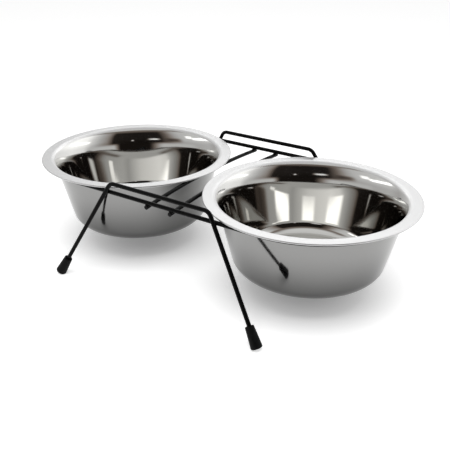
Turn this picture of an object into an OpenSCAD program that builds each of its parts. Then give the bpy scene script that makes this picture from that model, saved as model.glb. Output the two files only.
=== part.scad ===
// Raised dog feeder: two steel bowls hung by their rims in a welded wire stand.
// Millimetres. Origin on the floor under the middle of the stand, +X along the row of bowls,
// -Y towards the front leg frame, +Z up.

/* [Bowls] */
// Outer diameter of the rim
rim_d = 200; // [150:1:260]
// Width of the flat rim, from its edge in to the wall
rim_w = 12; // [9:0.5:18]
// Thickness of the hemmed rim
rim_t = 1.6; // [1.2:0.1:2.4]
// Thickness of the bowl's sheet
sheet_t = 0.8; // [0.5:0.1:1.2]
// Height of the bowl, from under its base to the top of its rim
bowl_h = 73; // [50:1:80]
// Lean of the wall from upright, in degrees
wall_angle = 14; // [5:0.5:20]
// Outside radius where the wall turns into the base
base_corner_r = 16; // [6:0.5:20]
// Radius of the rounded inner lip
lip_r = 4.5; // [2:0.1:5]
// Radius under the rim, where it turns into the wall
under_rim_r = 1.5; // [1:0.1:2.5]
// Gap between the two rims
bowl_gap = 8; // [5:0.5:30]

/* [Wire stand] */
// Diameter of the wire
wire_d = 4; // [3:0.1:5]
// Height of the top bars' centre line above the floor
bar_h = 106; // [96:1:140]
// Distance from the top bars down to the support loop
loop_drop = 10; // [8:0.5:16]
// Gap between the support loop and the bowl wall at the rim
loop_wall_gap = 2; // [1:0.1:4]
// Gap between a cross wire and the bowl wall at the rim
cross_wall_gap = 0.5; // [0.4:0.1:2]
// Length of cross wire past the centre line of the support loop
cross_tail = 2.5; // [1:0.1:6]
// Gap between a leg and the rim that it passes
leg_rim_gap = 3; // [1.5:0.1:8]
// Splay of the legs within their frame, in degrees
leg_splay = 30; // [20:1:40]
// Outward lean of the leg frames, in degrees
frame_lean = 10; // [0:0.5:15]
// Centre-line radius of the bends in the leg frames
bend_r = 8; // [5:0.5:10]
// Depth that two welded wires sink into each other
weld_sink = 0.2; // [0.1:0.05:0.5]
// Diameter of the weld fillet that fills the corners of a crossing
weld_d = 4.8; // [4:0.1:5.6]
// Height of the bead where a bend runs into a straight length
bead_proud = 0.05; // [0.03:0.01:0.1]

/* [Feet] */
// Length of a foot cap
foot_len = 20; // [14:0.5:30]
// Rubber wall round the wire at the mouth of the cap
foot_wall = 2; // [1:0.1:3]
// Widening of the cap on each side, from its mouth to its base
foot_flare = 1.3; // [0:0.1:3]
// Rubber under the end of the wire
foot_floor = 4; // [2:0.5:8]
// Radius of the cap's lower edge
foot_edge_r = 1.5; // [0.5:0.1:3]
// Radius of the cap's mouth edge
foot_mouth_r = 0.6; // [0.2:0.1:0.9]
// Depth that the lower edge is worn flat on the floor
foot_flat = 0.4; // [0.2:0.1:1]

/* [Clearances] */
// Gap between a rim and the wires that carry it
seat_clear = 0.3; // [0.2:0.05:0.6]
// Gap between the wire and the bore of a foot cap
bore_clear = 0.05; // [0:0.01:0.2]

/* [Hidden] */

wire_r = wire_d / 2;
rim_r = rim_d / 2;
bowl_x = (rim_d + bowl_gap) / 2;

// Wall of the bowl at the underside of the rim
wall_r = rim_r - rim_w;
wall_rise = tan(wall_angle);

// Support loop: straight sides joined by a half circle round each bowl
loop_r = wall_r + wire_r + loop_wall_gap;
loop_z = bar_h - loop_drop;
seat_z = loop_z + wire_r + seat_clear;
weld_reach = wire_d - weld_sink;

// Cross wires: arcs under the loop's sides that rise to its level in the middle
cross_x = bowl_x - (wall_r + wire_r + cross_wall_gap);
cross_r = (pow(loop_r, 2) - pow(weld_reach, 2)) / (2 * weld_reach);
cross_half = asin((loop_r + cross_tail) / cross_r);
cross_slope = asin(loop_r / (cross_r + weld_reach));

// Leg frame in its own plane: x along the bar, z up the plane, zero level with the loop
bar_z = (loop_drop - weld_reach * sin(frame_lean)) / cos(frame_lean);
bend_turn = 90 - leg_splay;
bend_run = bend_r * tan(bend_turn / 2);
rim_level = (wire_r + seat_clear + rim_t / 2 - weld_reach * sin(frame_lean)) / cos(frame_lean);
rim_level_y = loop_r + weld_reach * cos(frame_lean) - rim_level * sin(frame_lean);
leg_clear_r = rim_r + leg_rim_gap + wire_r;
leg_at_rim = bowl_x - sqrt(pow(leg_clear_r, 2) - pow(rim_level_y, 2));
bar_half = leg_at_rim - (bar_z - rim_level) * tan(leg_splay);
bar_straight = bar_half - bend_run - bead_proud;
weld_x = bar_half + bar_z * tan(leg_splay);

// Foot cap: its lower edge reaches just under the floor and is cut flat there
foot_mouth_d = wire_d + 2 * foot_wall;
foot_base_r = foot_mouth_d / 2 + foot_flare;
leg_fall = cos(leg_splay) * cos(frame_lean);
leg_tilt = acos(leg_fall);
edge_drop = (foot_base_r - foot_edge_r) * sin(leg_tilt) + foot_edge_r * (1 - leg_fall);
leg_to_base = (bar_h - edge_drop + foot_flat) / leg_fall - bend_run;
leg_to_end = leg_to_base - foot_floor;

wire_fn = 64;
arc_fn = 96;
bowl_fn = 160;
cross_fn = 1920;
arc_steps = 10;
wire_black = [0.06, 0.06, 0.07];
rubber_black = [0.10, 0.10, 0.10];
steel = [0.78, 0.78, 0.80];

// Points of an arc about c from angle a to angle b
function arc(c, r, a, b) =
    [for (i = [0 : arc_steps]) let (t = a + (b - a) * i / arc_steps) c + r * [cos(t), sin(t)]];

// A straight length of wire from the origin along +Z
module wire_run(length) {
    cylinder(d = wire_d, h = length, $fn = wire_fn);
}

// A bent length of wire in the XY plane about the origin, from the X axis round to the angle
module wire_bend(r, angle, fragments) {
    rotate_extrude(angle = angle, $fn = fragments)
        translate([r, 0])
            circle(d = wire_d, $fn = wire_fn);
}

// Moves children from the plane of a leg frame to its place at the front, or at the rear
module in_frame_plane(rear) {
    mirror([0, rear ? 1 : 0, 0])
        translate([0, -loop_r, loop_z])
            rotate([-frame_lean, 0, 0])
                translate([0, -weld_reach, 0])
                    children();
}

// Moves children to the bend of a leg frame: origin at the centre of the bend, leg starting on +X
module at_bend(left) {
    mirror([left ? 1 : 0, 0, 0])
        translate([bar_half - bend_run, 0, bar_z - bend_r])
            rotate([90, 0, 0])
                rotate([0, 0, leg_splay])
                    children();
}

// Moves children to a leg's axis: origin where the straight leg starts, +Z down the leg
module along_leg(left) {
    at_bend(left)
        translate([bend_r, 0, 0])
            rotate([90, 0, 0])
                children();
}

// The straight part of a leg, which starts just past the end of the bend
module leg_run(left) {
    along_leg(left)
        translate([0, 0, bead_proud])
            wire_run(leg_to_end - bead_proud);
}

// A bend of a leg frame, with a bead at each end that joins it to the straight lengths
module frame_bend() {
    wire_bend(bend_r, bend_turn, arc_fn);
    for (turn = [0, bend_turn])
        rotate([0, 0, turn])
            translate([bend_r, 0, 0])
                sphere(r = wire_r + bead_proud, $fn = wire_fn);
}

// One wire, bent into a bar with a splayed leg at each end
module leg_frame_wire() {
    translate([-bar_straight, 0, bar_z])
        rotate([0, 90, 0])
            wire_run(2 * bar_straight);
    for (left = [false, true]) {
        at_bend(left)
            frame_bend();
        leg_run(left);
    }
}

module front_leg_frame() {
    color(wire_black)
        in_frame_plane(false)
            leg_frame_wire();
}

module rear_leg_frame() {
    color(wire_black)
        in_frame_plane(true)
            leg_frame_wire();
}

module support_loop() {
    color(wire_black)
        translate([0, 0, loop_z]) {
            for (side = [-1, 1])
                translate([-bowl_x, side * loop_r, 0])
                    rotate([0, 90, 0])
                        wire_run(2 * bowl_x);
            for (end = [-1, 1])
                translate([end * bowl_x, 0, 0])
                    rotate([0, 0, -90 * end])
                        wire_bend(loop_r, 180, bowl_fn);
        }
}

module cross_wire(x) {
    translate([x, 0, loop_z - cross_r])
        rotate([90, 0, 90])
            rotate([0, 0, 90 - cross_half])
                wire_bend(cross_r, 2 * cross_half, cross_fn);
}

module left_cross_wire() {
    color(wire_black)
        cross_wire(-cross_x);
}

module right_cross_wire() {
    color(wire_black)
        cross_wire(cross_x);
}

// Fillets where the four legs are welded to the outside of the loop
module leg_welds() {
    color(wire_black)
        for (rear = [false, true], x = [-weld_x, weld_x])
            in_frame_plane(rear)
                translate([x, weld_reach / 2, 0])
                    sphere(d = weld_d, $fn = wire_fn);
}

// Fillets where the cross wires are welded under the loop
module cross_wire_welds() {
    color(wire_black)
        for (x = [-cross_x, cross_x], side = [-1, 1])
            translate([x, side * loop_r, loop_z])
                rotate([-side * cross_slope, 0, 0])
                    translate([0, 0, -weld_reach / 2])
                        sphere(d = weld_d, $fn = wire_fn);
}

// Rubber cap with its base at the origin and its mouth up +Z
module foot_cap() {
    base_arc = arc([foot_base_r - foot_edge_r, foot_edge_r], foot_edge_r, -90, 0);
    mouth_arc = arc([foot_mouth_d / 2 - foot_mouth_r, foot_len - foot_mouth_r], foot_mouth_r, 0, 90);
    bore_r = wire_r + bore_clear;
    rotate_extrude($fn = arc_fn)
        polygon(concat(
            [[0, 0]], base_arc, mouth_arc,
            [[bore_r, foot_len], [bore_r, foot_floor], [0, foot_floor]]
        ));
}

// The space below the floor, wider than the stand
module under_floor() {
    translate([-2 * rim_d, -2 * rim_d, -foot_len])
        cube([4 * rim_d, 4 * rim_d, foot_len]);
}

module foot(rear, left) {
    color(rubber_black)
        difference() {
            in_frame_plane(rear)
                along_leg(left)
                    translate([0, 0, leg_to_base])
                        rotate([180, 0, 0])
                            foot_cap();
            under_floor();
        }
}

module front_left_foot() {
    foot(false, true);
}

module front_right_foot() {
    foot(false, false);
}

module rear_left_foot() {
    foot(true, true);
}

module rear_right_foot() {
    foot(true, false);
}

// Bowl about its own axis, with the underside of its rim at zero
module bowl() {
    base_z = rim_t - bowl_h;
    corner_z = base_z + base_corner_r;
    corner_c = [wall_r + wall_rise * corner_z - base_corner_r / cos(wall_angle), corner_z];
    under_c = [wall_r - wall_rise * under_rim_r + under_rim_r / cos(wall_angle), -under_rim_r];
    edge_c = [rim_r - rim_t / 2, rim_t / 2];
    lip_z = rim_t - lip_r;
    lip_c = [wall_r + wall_rise * lip_z + (lip_r - sheet_t) / cos(wall_angle), lip_z];
    rotate_extrude($fn = bowl_fn)
        polygon(concat(
            [[0, base_z]],
            arc(corner_c, base_corner_r, -90, -wall_angle),
            arc(under_c, under_rim_r, 180 - wall_angle, 90),
            arc(edge_c, rim_t / 2, -90, 90),
            arc(lip_c, lip_r, 90, 180 - wall_angle),
            arc(corner_c, base_corner_r - sheet_t, -wall_angle, -90),
            [[0, base_z + sheet_t]]
        ));
}

module left_bowl() {
    color(steel)
        translate([-bowl_x, 0, seat_z])
            bowl();
}

module right_bowl() {
    color(steel)
        translate([bowl_x, 0, seat_z])
            bowl();
}

front_leg_frame();
rear_leg_frame();
support_loop();
left_cross_wire();
right_cross_wire();
leg_welds();
cross_wire_welds();
front_left_foot();
front_right_foot();
rear_left_foot();
rear_right_foot();
left_bowl();
right_bowl();
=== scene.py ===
"""Raised dog feeder: steel bowls hung by their rims in a welded stand of black coated wire."""

import math

import bpy
from bpy.props import FloatProperty, FloatVectorProperty, IntProperty, PointerProperty
from mathutils import Matrix, Vector


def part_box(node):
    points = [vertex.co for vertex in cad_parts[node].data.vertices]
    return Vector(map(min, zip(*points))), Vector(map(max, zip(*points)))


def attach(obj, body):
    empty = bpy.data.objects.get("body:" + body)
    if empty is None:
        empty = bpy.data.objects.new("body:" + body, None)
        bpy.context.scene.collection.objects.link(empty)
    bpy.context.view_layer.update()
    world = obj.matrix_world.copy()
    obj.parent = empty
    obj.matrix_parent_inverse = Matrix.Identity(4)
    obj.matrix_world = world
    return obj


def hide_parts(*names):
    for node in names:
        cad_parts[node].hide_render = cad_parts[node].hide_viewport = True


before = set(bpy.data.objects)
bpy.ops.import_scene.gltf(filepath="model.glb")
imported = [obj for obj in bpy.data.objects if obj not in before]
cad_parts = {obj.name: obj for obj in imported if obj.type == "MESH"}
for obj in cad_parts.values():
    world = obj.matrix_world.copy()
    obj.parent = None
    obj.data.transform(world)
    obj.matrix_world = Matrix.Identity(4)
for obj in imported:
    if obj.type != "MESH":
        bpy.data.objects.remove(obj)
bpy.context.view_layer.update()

bl_info = {
    "name": "Raised dog feeder",
    "version": (1, 0, 0),
    "blender": (4, 5, 0),
    "location": "3D View > Sidebar > Feeder",
    "description": "Makes the wire stand, the foot caps and the steel bowls of a raised dog feeder",
    "category": "Object",
}

MM = 0.001


def node_size(node):
    """The size of a CAD node's box."""
    low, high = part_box(node)
    return high - low


def node_centre(node):
    """The middle of a CAD node's box."""
    low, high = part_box(node)
    return (high + low) / 2


WIRE_D = node_size("left_cross_wire").x
LOOP_SIZE = node_size("support_loop")
BOWL_SIZE = node_size("left_bowl")


class FeederSizes(bpy.types.PropertyGroup):
    """Sizes of the pieces"""

    wire_d: FloatProperty(
        name="Wire diameter", description="Diameter of the coated wire",
        default=WIRE_D, min=0.002, max=0.008, unit="LENGTH")
    bar_height: FloatProperty(
        name="Bar height", description="Height of the top bars' centre line above the floor",
        default=106 * MM, min=0.08, max=0.2, unit="LENGTH")
    bar_half: FloatProperty(
        name="Bar half length", description="Half the length of a top bar, to the corners of its bends",
        default=55.902 * MM, min=0.03, max=0.1, unit="LENGTH")
    leg_length: FloatProperty(
        name="Leg length", description="Length of a leg from its corner to its end in the foot cap",
        default=118.17 * MM, min=0.08, max=0.2, unit="LENGTH")
    leg_splay: FloatProperty(
        name="Leg splay", description="Splay of the legs within their frame",
        default=math.radians(30), min=0.0, max=0.8, subtype="ANGLE")
    frame_lean: FloatProperty(
        name="Frame lean", description="Outward lean of the leg frames",
        default=math.radians(10), min=0.0, max=0.3, subtype="ANGLE")
    bend_r: FloatProperty(
        name="Bend radius", description="Centre-line radius of the bends in the leg frames",
        default=8 * MM, min=0.004, max=0.02, unit="LENGTH")
    weld_sink: FloatProperty(
        name="Weld sink", description="Depth that two welded wires sink into each other",
        default=0.2 * MM, min=0.0, max=0.001, unit="LENGTH")
    weld_d: FloatProperty(
        name="Weld diameter", description="Diameter of a weld fillet",
        default=4.8 * MM, min=0.003, max=0.008, unit="LENGTH")
    cross_tail: FloatProperty(
        name="Cross wire tail", description="Length of cross wire past the support loop",
        default=2.5 * MM, min=0.001, max=0.008, unit="LENGTH")
    foot_length: FloatProperty(
        name="Foot length", description="Length of a foot cap",
        default=20 * MM, min=0.01, max=0.04, unit="LENGTH")
    foot_mouth_r: FloatProperty(
        name="Foot mouth radius", description="Outside radius of a foot cap at its mouth",
        default=4 * MM, min=0.003, max=0.01, unit="LENGTH")
    foot_base_r: FloatProperty(
        name="Foot base radius", description="Outside radius of a foot cap at its base",
        default=5.3 * MM, min=0.003, max=0.012, unit="LENGTH")
    foot_floor: FloatProperty(
        name="Foot floor", description="Rubber under the end of the wire",
        default=4 * MM, min=0.001, max=0.01, unit="LENGTH")
    rim_d: FloatProperty(
        name="Rim diameter", description="Outer diameter of a bowl's rim",
        default=BOWL_SIZE.x, min=0.1, max=0.3, unit="LENGTH")
    rim_w: FloatProperty(
        name="Rim width", description="Width of the flat rim",
        default=12 * MM, min=0.006, max=0.02, unit="LENGTH")
    rim_t: FloatProperty(
        name="Rim thickness", description="Thickness of the hemmed rim",
        default=1.6 * MM, min=0.001, max=0.003, unit="LENGTH")
    sheet_t: FloatProperty(
        name="Sheet thickness", description="Thickness of a bowl's sheet",
        default=0.8 * MM, min=0.0004, max=0.0015, unit="LENGTH")
    bowl_height: FloatProperty(
        name="Bowl height", description="Height of a bowl",
        default=BOWL_SIZE.z, min=0.04, max=0.1, unit="LENGTH")
    wall_lean: FloatProperty(
        name="Wall lean", description="Lean of a bowl's wall from upright",
        default=math.radians(14), min=0.0, max=0.5, subtype="ANGLE")
    base_corner_r: FloatProperty(
        name="Base corner radius", description="Outside radius where the wall turns into the base",
        default=16 * MM, min=0.003, max=0.025, unit="LENGTH")
    lip_r: FloatProperty(
        name="Lip radius", description="Radius of the rounded inner lip",
        default=4.5 * MM, min=0.001, max=0.005, unit="LENGTH")
    flare: FloatProperty(
        name="Flare", description="Extra lean of the sheen under the lip, which bends the wall's mirror image",
        default=math.radians(34), min=0.0, max=0.8, subtype="ANGLE")
    flare_depth: FloatProperty(
        name="Flare depth", description="Depth below the rim where the flare of the sheen begins",
        default=22 * MM, min=0.005, max=0.05, unit="LENGTH")
    under_rim_r: FloatProperty(
        name="Under-rim radius", description="Radius under the rim, where it turns into the wall",
        default=1.5 * MM, min=0.0005, max=0.003, unit="LENGTH")
    wire_sides: IntProperty(
        name="Wire sides", description="Faces round a wire", default=28, min=8, max=64)
    bend_steps: IntProperty(
        name="Bend steps", description="Points on a bend", default=20, min=4, max=128)
    bowl_steps: IntProperty(
        name="Bowl steps", description="Faces round a bowl", default=256, min=48, max=512)


class FeederColours(bpy.types.PropertyGroup):
    """Colours of the finishes"""

    coat: FloatVectorProperty(
        name="Coating", description="Colour of the wire's coating",
        default=(0.002, 0.002, 0.002), min=0.0, max=1.0, size=3, subtype="COLOR")
    coat_worn: FloatVectorProperty(
        name="Coating, dull", description="Colour of the coating where it is rubbed dull",
        default=(0.005, 0.005, 0.005), min=0.0, max=1.0, size=3, subtype="COLOR")
    rubber: FloatVectorProperty(
        name="Rubber", description="Colour of the foot caps",
        default=(0.003, 0.003, 0.003), min=0.0, max=1.0, size=3, subtype="COLOR")
    rubber_dust: FloatVectorProperty(
        name="Rubber, dusty", description="Colour of the foot caps where dust clings",
        default=(0.009, 0.009, 0.009), min=0.0, max=1.0, size=3, subtype="COLOR")
    steel: FloatVectorProperty(
        name="Steel", description="Colour of the polished bowl",
        default=(0.58, 0.575, 0.555), min=0.0, max=1.0, size=3, subtype="COLOR")
    # The outside's colour is darker than the steel's own: painted shade, for the shaded floor that it mirrors
    outer_steel_shaded: FloatVectorProperty(
        name="Outer steel", description="Colour of the buffed outside of a bowl",
        default=(0.25, 0.249, 0.245), min=0.0, max=1.0, size=3, subtype="COLOR")
    # Darker still near the base: painted shadow of the floor, mirrored low on the wall
    low_steel_shaded: FloatVectorProperty(
        name="Low outer steel", description="Colour of the outside of a bowl near its base",
        default=(0.066, 0.066, 0.065), min=0.0, max=1.0, size=3, subtype="COLOR")
    satin: FloatVectorProperty(
        name="Satin steel", description="Colour of the satin rim",
        default=(0.54, 0.54, 0.54), min=0.0, max=1.0, size=3, subtype="COLOR")
    floor: FloatVectorProperty(
        name="Floor", description="Colour of the floor",
        default=(0.9, 0.9, 0.9), min=0.0, max=1.0, size=3, subtype="COLOR")


class FeederStage(bpy.types.PropertyGroup):
    """Camera and light"""

    azimuth: FloatProperty(
        name="Azimuth", description="Camera's turn about the feeder, from the front to the right",
        default=math.radians(33.9), min=-3.15, max=3.15, subtype="ANGLE")
    elevation: FloatProperty(
        name="Elevation", description="Camera's angle above the level",
        default=math.radians(25.82), min=0.0, max=1.5, subtype="ANGLE")
    distance: FloatProperty(
        name="Distance", description="Distance from the camera to its target",
        default=666.7 * MM, min=0.2, max=5.0, unit="LENGTH")
    target: FloatVectorProperty(
        name="Target", description="Point that the camera looks at",
        default=(8.94 * MM, 0.0, 42.88 * MM), size=3, subtype="TRANSLATION", unit="LENGTH")
    focal_pixels: FloatProperty(
        name="Focal length in pixels", description="Camera's focal length over the picture's pixel size",
        default=650.0, min=100.0, max=3000.0)
    picture_pixels: IntProperty(
        name="Picture width", description="Width of the picture in pixels", default=450, min=50, max=4000)
    soft_light: FloatProperty(
        name="Soft light", description="Strength of the soft white light that comes from all round",
        default=0.4, min=0.0, max=5.0)


def sizes():
    """The sizes set in this scene."""
    return bpy.context.scene.feeder_sizes


def colours():
    """The colours set in this scene."""
    return bpy.context.scene.feeder_colours


def stage_settings():
    """The camera and light set in this scene."""
    return bpy.context.scene.feeder_stage


# Materials

# Sockets of a Mix node for values and for colours: its two inputs and its output
MIX_SOCKETS = {"FLOAT": (2, 3, 0), "RGBA": (6, 7, 2)}


def new_material(name):
    """A node material, with its nodes, its links and its shader."""
    material = bpy.data.materials.new(name)
    material.use_nodes = True
    nodes = material.node_tree.nodes
    return material, nodes, material.node_tree.links, nodes["Principled BSDF"]


def add_noise(nodes, links, vector, scale, detail=3.0, roughness=0.5):
    """A noise texture on the given coordinates."""
    noise = nodes.new("ShaderNodeTexNoise")
    noise.inputs["Scale"].default_value = scale
    noise.inputs["Detail"].default_value = detail
    noise.inputs["Roughness"].default_value = roughness
    links.new(vector, noise.inputs["Vector"])
    return noise.outputs["Fac"]


def add_range(nodes, links, value, low, high, to_low, to_high):
    """A value moved from one range to another, and held inside it."""
    ranged = nodes.new("ShaderNodeMapRange")
    ranged.interpolation_type = "SMOOTHSTEP"
    ranged.inputs["From Min"].default_value = low
    ranged.inputs["From Max"].default_value = high
    ranged.inputs["To Min"].default_value = to_low
    ranged.inputs["To Max"].default_value = to_high
    links.new(value, ranged.inputs["Value"])
    return ranged.outputs["Result"]


def feed(links, socket, value):
    """Links an input to an output, or sets it to a number or a colour."""
    if isinstance(value, bpy.types.NodeSocket):
        links.new(value, socket)
    elif socket.type == "RGBA":
        socket.default_value = (*value, 1.0)
    else:
        socket.default_value = value


def add_mix(nodes, links, share, first, second, kind="RGBA"):
    """A mix of two colours by a share."""
    mix = nodes.new("ShaderNodeMix")
    mix.data_type = kind
    start, end, result = MIX_SOCKETS[kind]
    links.new(share, mix.inputs["Factor"])
    feed(links, mix.inputs[start], first)
    feed(links, mix.inputs[end], second)
    return mix.outputs[result]


def add_float_mix(nodes, links, share, first, second):
    """A mix of two values by a share."""
    return add_mix(nodes, links, share, first, second, "FLOAT")


def add_math(nodes, links, operation, first, second=0.0):
    """A sum on two values, each an output or a number."""
    node = nodes.new("ShaderNodeMath")
    node.operation = operation
    for socket, value in zip(node.inputs, (first, second)):
        feed(links, socket, value)
    return node.outputs["Value"]


def add_window(nodes, links, value, low, high, soft):
    """One between two values and nothing outside them, with soft edges."""
    opened = add_range(nodes, links, value, low - soft, low + soft, 0.0, 1.0)
    closed = add_range(nodes, links, value, high - soft, high + soft, 1.0, 0.0)
    return add_math(nodes, links, "MULTIPLY", opened, closed)


def add_bump(nodes, links, height, strength, distance, normal=None):
    """A bump from a height."""
    bump = nodes.new("ShaderNodeBump")
    bump.inputs["Strength"].default_value = strength
    bump.inputs["Distance"].default_value = distance
    links.new(height, bump.inputs["Height"])
    if normal is not None:
        links.new(normal, bump.inputs["Normal"])
    return bump.outputs["Normal"]


def add_attribute(nodes, name):
    """A value that a mesh holds at its points."""
    node = nodes.new("ShaderNodeAttribute")
    node.attribute_name = name
    return node.outputs["Fac"]


def coated_wire_material():
    """Glossy black powder coat: a fine orange-peel skin with duller patches."""
    material, nodes, links, shader = new_material("black_powder_coat")
    place = nodes.new("ShaderNodeTexCoord").outputs["Object"]
    patches = add_noise(nodes, links, place, scale=90.0, detail=4.0)
    dull = add_range(nodes, links, patches, 0.48, 0.72, 0.0, 1.0)
    links.new(add_mix(nodes, links, dull, colours().coat, colours().coat_worn), shader.inputs["Base Color"])
    links.new(add_range(nodes, links, patches, 0.3, 0.75, 0.12, 0.26), shader.inputs["Roughness"])
    peel = add_noise(nodes, links, place, scale=1100.0, detail=2.0)
    links.new(add_bump(nodes, links, peel, strength=0.35, distance=0.06 * MM), shader.inputs["Normal"])
    shader.inputs["Specular IOR Level"].default_value = 0.06
    return material


def rubber_material():
    """Matt moulded rubber with a fine grain and a little dust."""
    material, nodes, links, shader = new_material("black_rubber")
    place = nodes.new("ShaderNodeTexCoord").outputs["Object"]
    patches = add_noise(nodes, links, place, scale=160.0, detail=5.0, roughness=0.6)
    dust = add_range(nodes, links, patches, 0.45, 0.8, 0.0, 1.0)
    links.new(add_mix(nodes, links, dust, colours().rubber, colours().rubber_dust), shader.inputs["Base Color"])
    links.new(add_range(nodes, links, patches, 0.3, 0.7, 0.42, 0.62), shader.inputs["Roughness"])
    grain = add_noise(nodes, links, place, scale=2600.0)
    links.new(add_bump(nodes, links, grain, strength=0.5, distance=0.08 * MM), shader.inputs["Normal"])
    shader.inputs["Specular IOR Level"].default_value = 0.08
    return material


def steel_material():
    """Polished sheet steel: mirror walls with fine spinning lines, a satin rim, and painted shade on the outside,
    darkest near the base.
    """
    material, nodes, links, shader = new_material("polished_steel")
    shader.inputs["Metallic"].default_value = 1.0
    around = nodes.new("ShaderNodeUVMap")
    around.uv_map = "around"
    satin, outside = add_attribute(nodes, "satin"), add_attribute(nodes, "outside")
    # Spinning lines run round the bowl, so the noise is drawn out along them
    stretch = nodes.new("ShaderNodeMapping")
    stretch.inputs["Scale"].default_value = (6.0, 2600.0, 1.0)
    links.new(around.outputs["UV"], stretch.inputs["Vector"])
    lines = add_noise(nodes, links, stretch.outputs["Vector"], scale=1.0, detail=4.0, roughness=0.6)
    place = nodes.new("ShaderNodeTexCoord").outputs["Object"]
    cloud = add_noise(nodes, links, place, scale=28.0)
    # Roughness of the mirror inside, the buffed outside and the satin rim
    polished = add_range(nodes, links, cloud, 0.3, 0.7, 0.025, 0.06)
    buffed = add_range(nodes, links, cloud, 0.3, 0.7, 0.05, 0.10)
    brushed = add_range(nodes, links, lines, 0.3, 0.7, 0.30, 0.42)
    wall = add_float_mix(nodes, links, outside, polished, buffed)
    links.new(add_float_mix(nodes, links, satin, wall, brushed), shader.inputs["Roughness"])
    # Painted shade: the outside is darker than the steel inside and darkens further down the wall, by the way
    # along the outline from the middle of the base, standing in for the shaded floor that it mirrors
    run = nodes.new("ShaderNodeSeparateXYZ")
    links.new(around.outputs["UV"], run.inputs["Vector"])
    shade_fade_up_wall = add_range(nodes, links, run.outputs["Y"], 60 * MM, 128 * MM, 0.0, 1.0)
    outer_shaded_tone = add_mix(nodes, links, shade_fade_up_wall, colours().low_steel_shaded, colours().outer_steel_shaded)
    wall_tone = add_mix(nodes, links, outside, colours().steel, outer_shaded_tone)
    links.new(add_mix(nodes, links, satin, wall_tone, colours().satin), shader.inputs["Base Color"])
    wave = add_bump(nodes, links, cloud, strength=0.04, distance=0.5 * MM)
    fine = add_bump(nodes, links, lines, strength=0.05, distance=0.02 * MM, normal=wave)
    links.new(fine, shader.inputs["Normal"])
    return material


# Meshes

# Level that the weld's noise is measured from: most of it lies lower, so a bead is pressed in more than it swells
BEAD_LEVEL = 0.62
# A bend a hair under its full radius, so that two bends that meet keep a stretch of straight wire between them
FULL_BEND = 0.9999
# Points on the wide bends of the support loop and the cross wires
WIDE_BEND_STEPS = 64
# Faces round a foot cap
FOOT_STEPS = 64
# A point nearer to the axis than this is the pole of a turned piece
POLE_R = 1e-7
# How late the satin sets in along an arc
SATIN_DELAY = 3
# How fast the flare fades below the lip, and how much satin goes with it
FLARE_FADE = 1.5
FLARE_SATIN = 0.25


def new_piece(name, mesh, material, body, slot, *nodes):
    """A finished piece that rides on a body and stands for CAD nodes."""
    piece = bpy.data.objects.new(name, mesh)
    bpy.context.scene.collection.objects.link(piece)
    mesh.materials.clear()
    mesh.materials.append(shared_material(material))
    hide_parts(*nodes)
    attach(piece, body)
    return piece


def new_tree(name, inputs):
    """A Geometry Nodes tree with named inputs, and its input and output nodes."""
    tree = bpy.data.node_groups.new(name, "GeometryNodeTree")
    tree.interface.new_socket("Geometry", in_out="OUTPUT", socket_type="NodeSocketGeometry")
    tree.interface.new_socket("Geometry", in_out="INPUT", socket_type="NodeSocketGeometry")
    for label, kind in inputs:
        tree.interface.new_socket(label, in_out="INPUT", socket_type=kind)
    return tree, tree.nodes.new("NodeGroupInput"), tree.nodes.new("NodeGroupOutput")


def link_all(tree, pairs):
    """Links outputs to inputs, pair by pair."""
    for source, target in pairs:
        tree.links.new(source, target)


def finish_tree(tree, geometry, entry, exit_node):
    """Realizes instances, shades smooth and sets the material at the end of a tree."""
    smooth = tree.nodes.new("GeometryNodeSetShadeSmooth")
    realize = tree.nodes.new("GeometryNodeRealizeInstances")
    paint = tree.nodes.new("GeometryNodeSetMaterial")
    link_all(tree, (
        (geometry, smooth.inputs["Geometry"]),
        (smooth.outputs["Geometry"], realize.inputs["Geometry"]),
        (realize.outputs["Geometry"], paint.inputs["Geometry"]),
        (entry.outputs["Material"], paint.inputs["Material"]),
        (paint.outputs["Geometry"], exit_node.inputs["Geometry"]),
    ))


def wire_tree():
    """Sweeps a round wire along a path of corners, with a bend at each corner."""
    tree, entry, exit_node = new_tree("bent_wire", (
        ("Wire Radius", "NodeSocketFloat"),
        ("Bend Radius", "NodeSocketFloat"),
        ("Bend Steps", "NodeSocketInt"),
        ("Wire Sides", "NodeSocketInt"),
        ("Material", "NodeSocketMaterial"),
    ))
    path = tree.nodes.new("GeometryNodeMeshToCurve")
    bend = tree.nodes.new("GeometryNodeFilletCurve")
    bend.mode = "POLY"
    ring = tree.nodes.new("GeometryNodeCurvePrimitiveCircle")
    sweep = tree.nodes.new("GeometryNodeCurveToMesh")
    sweep.inputs["Fill Caps"].default_value = True
    link_all(tree, (
        (entry.outputs["Geometry"], path.inputs["Mesh"]),
        (path.outputs["Curve"], bend.inputs["Curve"]),
        (entry.outputs["Bend Steps"], bend.inputs["Count"]),
        (entry.outputs["Bend Radius"], bend.inputs["Radius"]),
        (entry.outputs["Wire Sides"], ring.inputs["Resolution"]),
        (entry.outputs["Wire Radius"], ring.inputs["Radius"]),
        (bend.outputs["Curve"], sweep.inputs["Curve"]),
        (ring.outputs["Curve"], sweep.inputs["Profile Curve"]),
    ))
    finish_tree(tree, sweep.outputs["Mesh"], entry, exit_node)
    return tree


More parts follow.
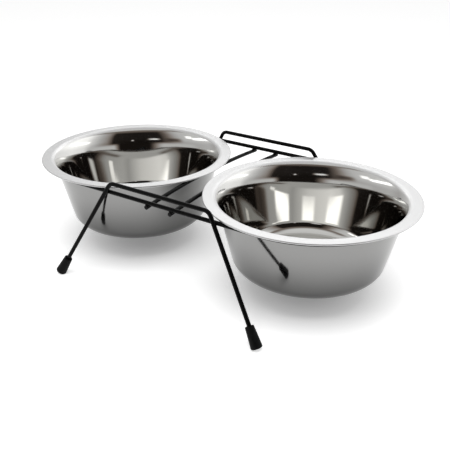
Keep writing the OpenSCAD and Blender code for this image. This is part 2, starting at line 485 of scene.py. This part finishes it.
def weld_tree():
    """Sets an uneven bead of weld on each point."""
    tree, entry, exit_node = new_tree("weld_beads", (
        ("Bead Radius", "NodeSocketFloat"),
        ("Unevenness", "NodeSocketFloat"),
        ("Grain", "NodeSocketFloat"),
        ("Material", "NodeSocketMaterial"),
    ))
    ball = tree.nodes.new("GeometryNodeMeshIcoSphere")
    ball.inputs["Subdivisions"].default_value = 5
    points = tree.nodes.new("GeometryNodeMeshToPoints")
    copies = tree.nodes.new("GeometryNodeInstanceOnPoints")
    real = tree.nodes.new("GeometryNodeRealizeInstances")
    place = tree.nodes.new("GeometryNodeInputPosition")
    facing = tree.nodes.new("GeometryNodeInputNormal")
    noise = tree.nodes.new("ShaderNodeTexNoise")
    lift = tree.nodes.new("ShaderNodeMath")
    lift.operation = "SUBTRACT"
    lift.inputs[1].default_value = BEAD_LEVEL
    depth = tree.nodes.new("ShaderNodeMath")
    depth.operation = "MULTIPLY"
    push = tree.nodes.new("ShaderNodeVectorMath")
    push.operation = "SCALE"
    move = tree.nodes.new("GeometryNodeSetPosition")
    link_all(tree, (
        (entry.outputs["Bead Radius"], ball.inputs["Radius"]),
        (entry.outputs["Geometry"], points.inputs["Mesh"]),
        (points.outputs["Points"], copies.inputs["Points"]),
        (ball.outputs["Mesh"], copies.inputs["Instance"]),
        (copies.outputs["Instances"], real.inputs["Geometry"]),
        (place.outputs["Position"], noise.inputs["Vector"]),
        (entry.outputs["Grain"], noise.inputs["Scale"]),
        (noise.outputs["Fac"], lift.inputs[0]),
        (lift.outputs["Value"], depth.inputs[0]),
        (entry.outputs["Unevenness"], depth.inputs[1]),
        (facing.outputs["Normal"], push.inputs[0]),
        (depth.outputs["Value"], push.inputs["Scale"]),
        (real.outputs["Geometry"], move.inputs["Geometry"]),
        (push.outputs["Vector"], move.inputs["Offset"]),
    ))
    finish_tree(tree, move.outputs["Geometry"], entry, exit_node)
    return tree


def run_tree(name, tree, points, edges, values, bevel=0.0):
    """Runs a tree on a path or a set of points, and returns the plain mesh that it makes."""
    path = bpy.data.meshes.new(name + "_path")
    path.from_pydata(points, edges, [])
    host = bpy.data.objects.new(name + "_path", path)
    bpy.context.scene.collection.objects.link(host)
    modifier = host.modifiers.new(name, "NODES")
    modifier.node_group = tree
    sockets = {item.name: item.identifier for item in tree.interface.items_tree if item.in_out == "INPUT"}
    for label, value in values.items():
        modifier[sockets[label]] = value
    if bevel:
        rounding = host.modifiers.new("rounded_ends", "BEVEL")
        rounding.width = bevel
        rounding.segments = 4
        rounding.limit_method = "ANGLE"
        rounding.angle_limit = math.radians(60)
    evaluated = host.evaluated_get(bpy.context.evaluated_depsgraph_get())
    mesh = bpy.data.meshes.new_from_object(evaluated)
    mesh.name = name
    bpy.data.objects.remove(host)
    bpy.data.meshes.remove(path)
    if not mesh.polygons:
        raise RuntimeError(name + " came out empty")
    return mesh


def bent_wire(name, corners, bend_r, steps, closed=False, bevel=0.0):
    """A wire swept along a path of corners."""
    edges = [(i, i + 1) for i in range(len(corners) - 1)]
    if closed:
        edges.append((len(corners) - 1, 0))
    values = {
        "Wire Radius": sizes().wire_d / 2,
        "Bend Radius": bend_r,
        "Bend Steps": steps,
        "Wire Sides": sizes().wire_sides,
        "Material": shared_material("black_powder_coat"),
    }
    return run_tree(name, shared_tree("bent_wire"), corners, edges, values, bevel)


MATERIALS = {
    "black_powder_coat": coated_wire_material,
    "black_rubber": rubber_material,
    "polished_steel": steel_material,
}
TREES = {"bent_wire": wire_tree, "weld_beads": weld_tree}


def shared_material(name):
    """A material by name, made on its first use."""
    return bpy.data.materials.get(name) or MATERIALS[name]()


def shared_tree(name):
    """A Geometry Nodes tree by name, made on its first use."""
    return bpy.data.node_groups.get(name) or TREES[name]()


class Stand:
    """Places on the wire stand, worked out from the sizes."""

    def __init__(self):
        size = sizes()
        # Distance between the axes of two welded wires
        self.reach = size.wire_d - size.weld_sink
        self.loop_r = LOOP_SIZE.y / 2 - size.wire_d / 2
        self.loop_end = LOOP_SIZE.x / 2 - size.wire_d / 2
        self.loop_z = node_centre("support_loop").z
        self.lean = size.frame_lean
        self.splay = size.leg_splay
        # Way up a leg frame's leaning plane from the loop to the bar, and where a leg crosses the loop
        self.bar_up = (size.bar_height - self.loop_z - self.reach * math.sin(self.lean)) / math.cos(self.lean)
        self.weld_x = size.bar_half + self.bar_up * math.tan(self.splay)
        # A cross wire arches from under the loop's sides up to the loop's level
        self.cross_x = node_centre("right_cross_wire").x
        self.cross_r = (self.loop_r ** 2 - self.reach ** 2) / (2 * self.reach)

    def in_frame(self, x, out, up, rear):
        """A point of a leg frame's plane: x along the bar, out from it, up the plane, from level with the loop."""
        y = -self.loop_r - (self.reach + out) * math.cos(self.lean) + up * math.sin(self.lean)
        z = self.loop_z + (self.reach + out) * math.sin(self.lean) + up * math.cos(self.lean)
        return Vector((x, -y if rear else y, z))

    def leg_point(self, along, left, rear):
        """A point on a leg's axis, at a distance from the corner of its bend."""
        x = sizes().bar_half + along * math.sin(self.splay)
        return self.in_frame(-x if left else x, 0.0, self.bar_up - along * math.cos(self.splay), rear)


# Outlines of turned pieces: each point is (radius, height, normal, satin)

def arc(centre, radius, start, end, steps, satin=(0.0, 0.0), hollow=False):
    """Points of an arc in an outline, with the normal turned in on a hollow one."""
    points = []
    for i in range(steps + 1):
        share = i / steps
        angle = math.radians(start + (end - start) * share)
        way = Vector((math.cos(angle), math.sin(angle)))
        place = Vector(centre) + radius * way
        finish = satin[0] + (satin[1] - satin[0]) * share ** SATIN_DELAY
        points.append((place.x, place.y, -way if hollow else way, finish))
    return points


def straight(first, second, steps):
    """Points inside a straight stretch between two outline points that share a normal."""
    points = []
    for i in range(1, steps):
        share = i / steps
        radius = first[0] + (second[0] - first[0]) * share
        height = first[1] + (second[1] - first[1]) * share
        points.append((radius, height, first[2], first[3] + (second[3] - first[3]) * share))
    return points


def joined(stretches, steps):
    """One outline of stretches with straight runs between them."""
    outline = []
    for stretch in stretches:
        if outline:
            outline += straight(outline[-1], stretch[0], steps)
        outline += stretch
    return outline


def turned_mesh(name, outline, steps, place):
    """Turns an outline about its axis into a closed mesh, with the outline's normals, a UV map and its finish."""
    verts, normals, satin, outside = [], [], [], []
    rows = []
    for radius, height, way, finish in outline:
        count = 1 if radius < POLE_R else steps
        rows.append((len(verts), count))
        for i in range(count):
            angle = 2 * math.pi * i / steps
            turn = Vector((math.cos(angle), math.sin(angle), 0.0))
            verts.append(place @ (turn * radius + Vector((0.0, 0.0, height))))
            normals.append((place.to_3x3() @ (turn * way.x + Vector((0.0, 0.0, way.y)))).normalized())
            satin.append(finish)
            # Outside is what points away from the axis, or down, and not up
            outside.append(1.0 if way.x > -1e-6 and way.y < 0.7 else 0.0)
    run = [0.0]
    for first, second in zip(outline, outline[1:]):
        run.append(run[-1] + math.hypot(second[0] - first[0], second[1] - first[1]))
    faces, maps = [], []
    for j, ((low, low_count), (high, high_count)) in enumerate(zip(rows, rows[1:])):
        for i in range(steps):
            k = (i + 1) % steps
            left, right, middle = i / steps, (i + 1) / steps, (i + 0.5) / steps
            if low_count == 1:
                faces.append((low, high + k, high + i))
                maps.append(((middle, run[j]), (right, run[j + 1]), (left, run[j + 1])))
            elif high_count == 1:
                faces.append((low + i, low + k, high))
                maps.append(((left, run[j]), (right, run[j]), (middle, run[j + 1])))
            else:
                faces.append((low + i, low + k, high + k, high + i))
                maps.append(((left, run[j]), (right, run[j]), (right, run[j + 1]), (left, run[j + 1])))
    mesh = bpy.data.meshes.new(name)
    mesh.from_pydata(verts, [], faces)
    mesh.uv_layers.new(name="around").data.foreach_set("uv", [c for face in maps for uv in face for c in uv])
    for label, values in (("satin", satin), ("outside", outside)):
        mesh.attributes.new(label, "FLOAT", "POINT").data.foreach_set("value", values)
    mesh.polygons.foreach_set("use_smooth", [True] * len(faces))
    mesh.normals_split_custom_set_from_vertices(normals)
    mesh.validate()
    return mesh


def flared(point):
    """An outline point inside a bowl, with the normal leaned out towards the lip."""
    size = sizes()
    radius, height, way, finish = point
    share = max(0.0, 1.0 - (size.rim_t - height) / size.flare_depth)
    lean = math.atan2(way.y, -way.x)
    room = (math.pi / 2 - lean) / (math.pi / 2 - size.wall_lean)
    lean += size.flare * share ** FLARE_FADE * min(1.0, room)
    return radius, height, Vector((-math.cos(lean), math.sin(lean))), max(finish, FLARE_SATIN * share)


def bowl_outline():
    """Outline of a bowl from under its base, over its rim and down to the inside of its base."""
    size = sizes()
    lean = math.degrees(size.wall_lean)
    rise, cosine = math.tan(size.wall_lean), math.cos(size.wall_lean)
    rim_r = size.rim_d / 2
    wall_r = rim_r - size.rim_w
    base_z = size.rim_t - size.bowl_height
    corner_z = base_z + size.base_corner_r
    corner = (wall_r + rise * corner_z - size.base_corner_r / cosine, corner_z)
    under = (wall_r - rise * size.under_rim_r + size.under_rim_r / cosine, -size.under_rim_r)
    edge = (rim_r - size.rim_t / 2, size.rim_t / 2)
    lip_z = size.rim_t - size.lip_r
    lip = (wall_r + rise * lip_z + (size.lip_r - size.sheet_t) / cosine, lip_z)
    inner_r = size.base_corner_r - size.sheet_t
    down, up = Vector((0.0, -1.0)), Vector((0.0, 1.0))
    outside = joined((
        [(0.0, base_z, down, 0.0)],
        arc(corner, size.base_corner_r, -90, -lean, 16),
        arc(under, size.under_rim_r, 180 - lean, 90, 8, (0.0, 1.0), hollow=True),
        arc(edge, size.rim_t / 2, -90, 90, 14, (1.0, 1.0)),
    ), 5)
    inside = joined((
        arc(lip, size.lip_r, 90, 180 - lean, 16, (1.0, 0.0)),
        arc(corner, inner_r, -lean, -90, 16, hollow=True),
        [(0.0, base_z + size.sheet_t, up, 0.0)],
    ), 24)
    return joined((outside, [flared(point) for point in inside]), 5)


def foot_outline():
    """Outline of a foot cap from the middle of its base, up its side and into its bore."""
    size = sizes()
    edge_r, mouth_r, clearance = 1.5 * MM, 0.6 * MM, 0.05 * MM
    bore_r = size.wire_d / 2 + clearance
    taper = math.degrees(math.atan((size.foot_base_r - size.foot_mouth_r) / size.foot_length))
    down, up, inward = Vector((0.0, -1.0)), Vector((0.0, 1.0)), Vector((-1.0, 0.0))
    stretches = [
        [(0.0, 0.0, down, 0.0)],
        arc((size.foot_base_r - edge_r, edge_r), edge_r, -90, taper, 12),
        arc((size.foot_mouth_r - mouth_r, size.foot_length - mouth_r), mouth_r, taper, 90, 8),
        [(bore_r, size.foot_length, up, 0.0)],
        [(bore_r, size.foot_length, inward, 0.0)],
        [(bore_r, size.foot_floor, inward, 0.0)],
        [(bore_r, size.foot_floor, up, 0.0)],
        [(0.0, size.foot_floor, up, 0.0)],
    ]
    return [point for stretch in stretches for point in stretch]


class FEEDER_OT_leg_frames(bpy.types.Operator):
    """Make the two leg frames"""

    bl_idname = "feeder.leg_frames"
    bl_label = "Leg frames"

    def execute(self, context):
        stand, size = Stand(), sizes()
        for name, rear in (("front_leg_wire", False), ("rear_leg_wire", True)):
            corners = [
                stand.leg_point(size.leg_length, True, rear),
                stand.leg_point(0.0, True, rear),
                stand.leg_point(0.0, False, rear),
                stand.leg_point(size.leg_length, False, rear),
            ]
            mesh = bent_wire(name, corners, size.bend_r, size.bend_steps)
            node = "rear_leg_frame" if rear else "front_leg_frame"
            new_piece(name, mesh, "black_powder_coat", "stand", "coated_wire", node)
        return {"FINISHED"}


class FEEDER_OT_support_loop(bpy.types.Operator):
    """Make the loop that the rims rest on"""

    bl_idname = "feeder.support_loop"
    bl_label = "Support loop"

    def execute(self, context):
        stand = Stand()
        corners = [
            Vector((x * stand.loop_end, y * stand.loop_r, stand.loop_z))
            for x, y in ((-1, -1), (1, -1), (1, 1), (-1, 1))
        ]
        mesh = bent_wire("loop_wire", corners, stand.loop_r * FULL_BEND, WIDE_BEND_STEPS, closed=True)
        new_piece("loop_wire", mesh, "black_powder_coat", "stand", "coated_wire", "support_loop")
        return {"FINISHED"}


class FEEDER_OT_cross_wires(bpy.types.Operator):
    """Make the two arched cross wires"""

    bl_idname = "feeder.cross_wires"
    bl_label = "Cross wires"

    def execute(self, context):
        stand, size = Stand(), sizes()
        half = math.asin((stand.loop_r + size.cross_tail) / stand.cross_r)
        middle_z = stand.loop_z - stand.cross_r
        end_y, end_z = stand.cross_r * math.sin(half), middle_z + stand.cross_r * math.cos(half)
        apex_z = middle_z + stand.cross_r / math.cos(half)
        for side, x in (("left", -stand.cross_x), ("right", stand.cross_x)):
            name = side + "_arched_wire"
            corners = [Vector((x, -end_y, end_z)), Vector((x, 0.0, apex_z)), Vector((x, end_y, end_z))]
            mesh = bent_wire(name, corners, stand.cross_r * FULL_BEND, WIDE_BEND_STEPS, bevel=0.6 * MM)
            new_piece(name, mesh, "black_powder_coat", "stand", "coated_wire", side + "_cross_wire")
        return {"FINISHED"}


class FEEDER_OT_welds(bpy.types.Operator):
    """Make the weld beads at the crossings"""

    bl_idname = "feeder.welds"
    bl_label = "Welds"

    def execute(self, context):
        stand, size = Stand(), sizes()
        slope = math.asin(stand.loop_r / (stand.cross_r + stand.reach))
        half_reach = stand.reach / 2
        legs = [
            stand.in_frame(x, -half_reach, 0.0, rear)
            for rear in (False, True) for x in (-stand.weld_x, stand.weld_x)
        ]
        crossings = [
            Vector((x, side * (stand.loop_r - half_reach * math.sin(slope)),
                    stand.loop_z - half_reach * math.cos(slope)))
            for x in (-stand.cross_x, stand.cross_x) for side in (-1, 1)
        ]
        values = {
            "Bead Radius": size.weld_d / 2,
            "Unevenness": 0.8 * MM,
            "Grain": 420.0,
            "Material": shared_material("black_powder_coat"),
        }
        for name, points, node in (
            ("leg_weld_beads", legs, "leg_welds"),
            ("cross_wire_weld_beads", crossings, "cross_wire_welds"),
        ):
            mesh = run_tree(name, shared_tree("weld_beads"), points, [], values)
            new_piece(name, mesh, "black_powder_coat", "stand", "coated_wire", node)
        return {"FINISHED"}


class FEEDER_OT_feet(bpy.types.Operator):
    """Make the four rubber foot caps"""

    bl_idname = "feeder.feet"
    bl_label = "Foot caps"

    def execute(self, context):
        stand, size = Stand(), sizes()
        outline = foot_outline()
        for rear in (False, True):
            for left in (False, True):
                node = ("rear_" if rear else "front_") + ("left_foot" if left else "right_foot")
                base = stand.leg_point(size.leg_length + size.foot_floor, left, rear)
                up_leg = stand.leg_point(0.0, left, rear) - base
                place = Matrix.Translation(base) @ up_leg.to_track_quat("Z", "Y").to_matrix().to_4x4()
                mesh = turned_mesh(node + "_cap", outline, FOOT_STEPS, place)
                # The leaning cap stands flat on the floor
                for vertex in mesh.vertices:
                    vertex.co.z = max(vertex.co.z, 0.0)
                new_piece(node + "_cap", mesh, "black_rubber", "stand", "foot_rubber", node)
        return {"FINISHED"}


class FEEDER_OT_bowls(bpy.types.Operator):
    """Make the two steel bowls"""

    bl_idname = "feeder.bowls"
    bl_label = "Bowls"

    def execute(self, context):
        size = sizes()
        outline = bowl_outline()
        for side in ("left", "right"):
            node = side + "_bowl"
            centre, top = node_centre(node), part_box(node)[1][2]
            place = Matrix.Translation((centre.x, centre.y, top - size.rim_t))
            mesh = turned_mesh(side + "_steel_bowl", outline, size.bowl_steps, place)
            new_piece(side + "_steel_bowl", mesh, "polished_steel", node + "_body", "bowl_steel", node)
        return {"FINISHED"}


# Stage. Bearings and heights are in degrees: a bearing runs to the right from straight beyond the feeder, as the
# camera sees it, and a height is above the level.

FLOOR_HALF = 8.0
# Whitening of the floor: distances to the axis of the nearer bowl, and the strength at each. It is weaker near the
# axes, which paints a shadow under each bowl
FLOOR_WHITE_AND_SHADOW = (20 * MM, 115 * MM, 0.2, 0.56)
# Tones of the studio's walls by bearing
WALL_TONES = (
    (-180, 0.012), (-150, 0.015), (-138, 0.2), (-124, 0.55), (-112, 0.75), (-60, 0.9), (-42, 0.75), (-20, 1.1),
    (0, 1.4), (30, 1.6), (60, 1.8), (84, 1.6), (97, 1.0), (110, 0.66), (124, 0.4), (134, 0.02), (180, 0.012),
)
# Light strips on the walls: bearing, half width and softness, lower and upper edge, and tone
STRIPS = (
    (-97, 6, 3, 30.0, 37.0, 1.4),
    (-71, 19, 4, 27.0, 31.2, 2.6),
    (2, 16, 5, 26.0, 32.4, 2.0),
    (73, 19, 5, 27.0, 31.2, 1.8),
)
# The same behind the camera, with bearings from the camera to the left as seen from it
STREAKS = (
    (19, 7, 5, 23.0, 27.0, 1.3),
    (-15, 1.5, 1.5, 21.0, 23.5, 1.2),
)
STRIP_EDGE = 1.2
# Tint of the darkest places on the walls
DARK_TINT = (1.0, 0.8, 0.68)
WHITE = (1.0, 1.0, 1.0)
# Soft light from the walls and from above, in shares of the light's strength
WALL_LIGHT, TOP_LIGHT = 2.4, 0.45


def studio_point(right, forward, up):
    """A point in the studio, right of, beyond and above the middle of the feeder as the camera sees it."""
    turn = stage_settings().azimuth
    return Vector((
        right * math.cos(turn) - forward * math.sin(turn),
        right * math.sin(turn) + forward * math.cos(turn),
        up,
    ))


def add_softbox(name, place, aim, width, height, power):
    """A rectangular area light that neither the camera nor the steel shows."""
    light = bpy.data.lights.new(name, "AREA")
    light.shape = "RECTANGLE"
    light.size = width
    light.size_y = height
    light.energy = power
    lamp = bpy.data.objects.new(name, light)
    bpy.context.scene.collection.objects.link(lamp)
    lamp.location = place
    lamp.rotation_euler = (aim - place).to_track_quat("-Z", "Y").to_euler()
    lamp.visible_camera = False
    lamp.visible_glossy = False


def floor_material():
    """Pale matt floor, a little whiter to the camera and in the steel, but less so under the bowls, which is
    painted shadow.
    """
    material, nodes, links, shader = new_material("pale_floor")
    place = nodes.new("ShaderNodeTexCoord").outputs["Object"]
    tone = add_noise(nodes, links, place, scale=3.0, detail=2.0)
    shade = tuple(c * 0.985 for c in colours().floor)
    links.new(add_mix(nodes, links, tone, colours().floor, shade), shader.inputs["Base Color"])
    shader.inputs["Roughness"].default_value = 0.9
    shader.inputs["Specular IOR Level"].default_value = 0.0
    shader.inputs["Emission Color"].default_value = (*WHITE, 1.0)
    # Distance from the axis of the nearer bowl: the bowls stand alike on both sides of the middle
    bowl = node_centre("right_bowl")
    for operation, other in (("ABSOLUTE", None), ("SUBTRACT", (bowl.x, bowl.y, 0.0)), ("LENGTH", None)):
        step = nodes.new("ShaderNodeVectorMath")
        step.operation = operation
        links.new(place, step.inputs[0])
        if other:
            step.inputs[1].default_value = other
        place = step.outputs["Value" if operation == "LENGTH" else "Vector"]
    ray = nodes.new("ShaderNodeLightPath").outputs
    seen = add_math(nodes, links, "MAXIMUM", ray["Is Camera Ray"], ray["Is Glossy Ray"])
    seen = add_math(nodes, links, "MAXIMUM", seen, ray["Is Transmission Ray"])
    # The whitening is weakest at the bowls' axes: painted shadow under each bowl, deepening its real shadow
    white = add_range(nodes, links, place, *FLOOR_WHITE_AND_SHADOW)
    links.new(add_math(nodes, links, "MULTIPLY", seen, white), shader.inputs["Emission Strength"])
    return material


def studio_directions(nodes, links):
    """Bearing from straight beyond the feeder, bearing from the camera, height and forward part of a direction."""
    turned = nodes.new("ShaderNodeVectorRotate")
    turned.rotation_type = "Z_AXIS"
    turned.inputs["Angle"].default_value = -stage_settings().azimuth
    links.new(nodes.new("ShaderNodeTexCoord").outputs["Generated"], turned.inputs["Vector"])
    split = nodes.new("ShaderNodeSeparateXYZ")
    links.new(turned.outputs["Vector"], split.inputs["Vector"])
    right, forward, up = (split.outputs[axis] for axis in "XYZ")
    left, back = (add_math(nodes, links, "MULTIPLY", way, -1.0) for way in (right, forward))
    angles = (
        add_math(nodes, links, "ARCTAN2", right, forward),
        add_math(nodes, links, "ARCTAN2", left, back),
        add_math(nodes, links, "ARCSINE", up),
    )
    beyond, facing, height = (add_math(nodes, links, "MULTIPLY", angle, math.degrees(1)) for angle in angles)
    return beyond, facing, height, forward


def wall_ramp(nodes, links, bearing):
    """Half the tone of the studio's walls, because a colour ramp ends at one."""
    ramp = nodes.new("ShaderNodeValToRGB")
    elements = ramp.color_ramp.elements
    while len(elements) < len(WALL_TONES):
        elements.new(1.0)
    for element, (place, tone) in zip(elements, WALL_TONES):
        element.position = (place + 180) / 360
        element.color = (tone / 2, tone / 2, tone / 2, 1.0)
    turn = add_math(nodes, links, "ADD", bearing, 180.0)
    links.new(add_math(nodes, links, "DIVIDE", turn, 360.0), ramp.inputs["Fac"])
    return ramp.outputs["Color"]


def studio_walls(nodes, links, beyond, facing, height, forward):
    """The studio as the steel shows it: light walls with strips of light, darker behind the camera."""

    def total(operation, first, second):
        return add_math(nodes, links, operation, first, second)

    def window(value, low, high, soft):
        return add_window(nodes, links, value, low, high, soft)

    def fade(value, low, high, start=0.0, end=1.0):
        return add_range(nodes, links, value, low, high, start, end)

    # The walls lighten with height, but for a blind on the left
    tone = total("MULTIPLY", wall_ramp(nodes, links, beyond), fade(height, 14, 28, 1.5, 2.0))
    blind = total("MULTIPLY", window(height, 18, 28, 4), window(beyond, -140, -116, 8))
    tone = total("MULTIPLY", tone, total("SUBTRACT", 1.0, total("MULTIPLY", blind, 0.75)))
    # Low behind the camera the walls are light again, but for the dark patch where the camera stands
    low = total("MULTIPLY", window(height, -90, 14, 4), window(facing, -90, 90, 8))
    dark = total("MULTIPLY", fade(facing, -46, -34), fade(facing, 10, 36, 1.0, 0.0))
    light = total("MULTIPLY", total("SUBTRACT", 1.0, dark), 0.72)
    tone = add_float_mix(nodes, links, low, tone, total("ADD", light, 0.012))
    # The ceiling is darker on the camera's side
    ceiling = add_float_mix(nodes, links, fade(forward, 0.0, 0.2), fade(height, 60, 74, 0.24, 0.9), 0.85)
    tone = add_float_mix(nodes, links, fade(height, 50, 60), tone, ceiling)
    for bearing, strips in ((beyond, STRIPS), (facing, STREAKS)):
        for middle, half, soft, bottom, top, level in strips:
            across = window(bearing, middle - half, middle + half, soft)
            strip = total("MULTIPLY", across, window(height, bottom, top, STRIP_EDGE))
            tone = total("ADD", tone, total("MULTIPLY", strip, level))
    tint = add_mix(nodes, links, fade(tone, 0.03, 0.7), DARK_TINT, WHITE)
    walls = nodes.new("ShaderNodeVectorMath")
    walls.operation = "SCALE"
    links.new(tint, walls.inputs[0])
    links.new(tone, walls.inputs["Scale"])
    return walls.outputs["Vector"]


def studio_world():
    """Soft white light all round, the studio's walls in the steel, and white to the camera."""
    world = bpy.data.worlds.new("studio")
    world.use_nodes = True
    nodes, links = world.node_tree.nodes, world.node_tree.links
    beyond, facing, height, forward = studio_directions(nodes, links)
    walls = studio_walls(nodes, links, beyond, facing, height, forward)
    strength = stage_settings().soft_light
    ring = add_range(nodes, links, height, 10, 28, 0.0, WALL_LIGHT * strength)
    overhead = add_range(nodes, links, height, 34, 50, 0.0, 1.0)
    soft_light = add_float_mix(nodes, links, overhead, ring, TOP_LIGHT * strength)
    ray = nodes.new("ShaderNodeLightPath").outputs
    lit = add_mix(nodes, links, ray["Is Glossy Ray"], soft_light, walls)
    links.new(add_mix(nodes, links, ray["Is Camera Ray"], lit, WHITE), nodes["Background"].inputs["Color"])
    bpy.context.scene.world = world


class FEEDER_OT_stage(bpy.types.Operator):
    """Make the floor, the studio light and the camera"""

    bl_idname = "feeder.stage"
    bl_label = "Stage"

    def execute(self, context):
        scene, settings = context.scene, stage_settings()
        scene.view_settings.view_transform = "Standard"
        mesh = bpy.data.meshes.new("floor")
        corners = [(x * FLOOR_HALF, y * FLOOR_HALF, 0.0) for x, y in ((-1, -1), (1, -1), (1, 1), (-1, 1))]
        mesh.from_pydata(corners, [], [(0, 1, 2, 3)])
        mesh.materials.append(floor_material())
        floor = bpy.data.objects.new("floor", mesh)
        scene.collection.objects.link(floor)
        studio_world()
        place = studio_point(right=0.0, forward=-0.45, up=1.3)
        add_softbox("front_softbox", place, aim=Vector((0.0, 0.0, 0.0)), width=1.2, height=0.8, power=11.5)
        self.add_camera(scene, settings)
        return {"FINISHED"}

    def add_camera(self, scene, settings):
        """The camera, at the angle and distance that are set."""
        data = bpy.data.cameras.new("camera")
        data.sensor_width = 36.0
        data.lens = settings.focal_pixels / settings.picture_pixels * data.sensor_width
        data.clip_start, data.clip_end = 0.01, 50.0
        camera = bpy.data.objects.new("camera", data)
        scene.collection.objects.link(camera)
        flat = math.cos(settings.elevation)
        back = Vector((
            math.sin(settings.azimuth) * flat,
            -math.cos(settings.azimuth) * flat,
            math.sin(settings.elevation),
        ))
        camera.location = Vector(settings.target) + back * settings.distance
        camera.rotation_mode = "QUATERNION"
        camera.rotation_quaternion = (-back).to_track_quat("-Z", "Y")
        scene.camera = camera


OPERATORS = (
    FEEDER_OT_leg_frames,
    FEEDER_OT_support_loop,
    FEEDER_OT_cross_wires,
    FEEDER_OT_welds,
    FEEDER_OT_feet,
    FEEDER_OT_bowls,
    FEEDER_OT_stage,
)


class FEEDER_PT_panel(bpy.types.Panel):
    """Makes the feeder's pieces and sets their sizes and colours"""

    bl_idname = "FEEDER_PT_panel"
    bl_label = "Raised dog feeder"
    bl_space_type = "VIEW_3D"
    bl_region_type = "UI"
    bl_category = "Feeder"

    def draw(self, context):
        for operator in OPERATORS:
            self.layout.operator(operator.bl_idname)
        scene = context.scene
        for group in (scene.feeder_sizes, scene.feeder_colours, scene.feeder_stage):
            box = self.layout.box()
            for name in group.__annotations__:
                box.prop(group, name)


CLASSES = (FeederSizes, FeederColours, FeederStage, *OPERATORS, FEEDER_PT_panel)


def register():
    for cls in CLASSES:
        bpy.utils.register_class(cls)
    bpy.types.Scene.feeder_sizes = PointerProperty(type=FeederSizes)
    bpy.types.Scene.feeder_colours = PointerProperty(type=FeederColours)
    bpy.types.Scene.feeder_stage = PointerProperty(type=FeederStage)


def unregister():
    del bpy.types.Scene.feeder_stage
    del bpy.types.Scene.feeder_colours
    del bpy.types.Scene.feeder_sizes
    for cls in reversed(CLASSES):
        bpy.utils.unregister_class(cls)


def main():
    register()
    bpy.ops.feeder.leg_frames()
    bpy.ops.feeder.support_loop()
    bpy.ops.feeder.cross_wires()
    bpy.ops.feeder.welds()
    bpy.ops.feeder.feet()
    bpy.ops.feeder.bowls()
    bpy.ops.feeder.stage()


if __name__ == "__main__":
    main()
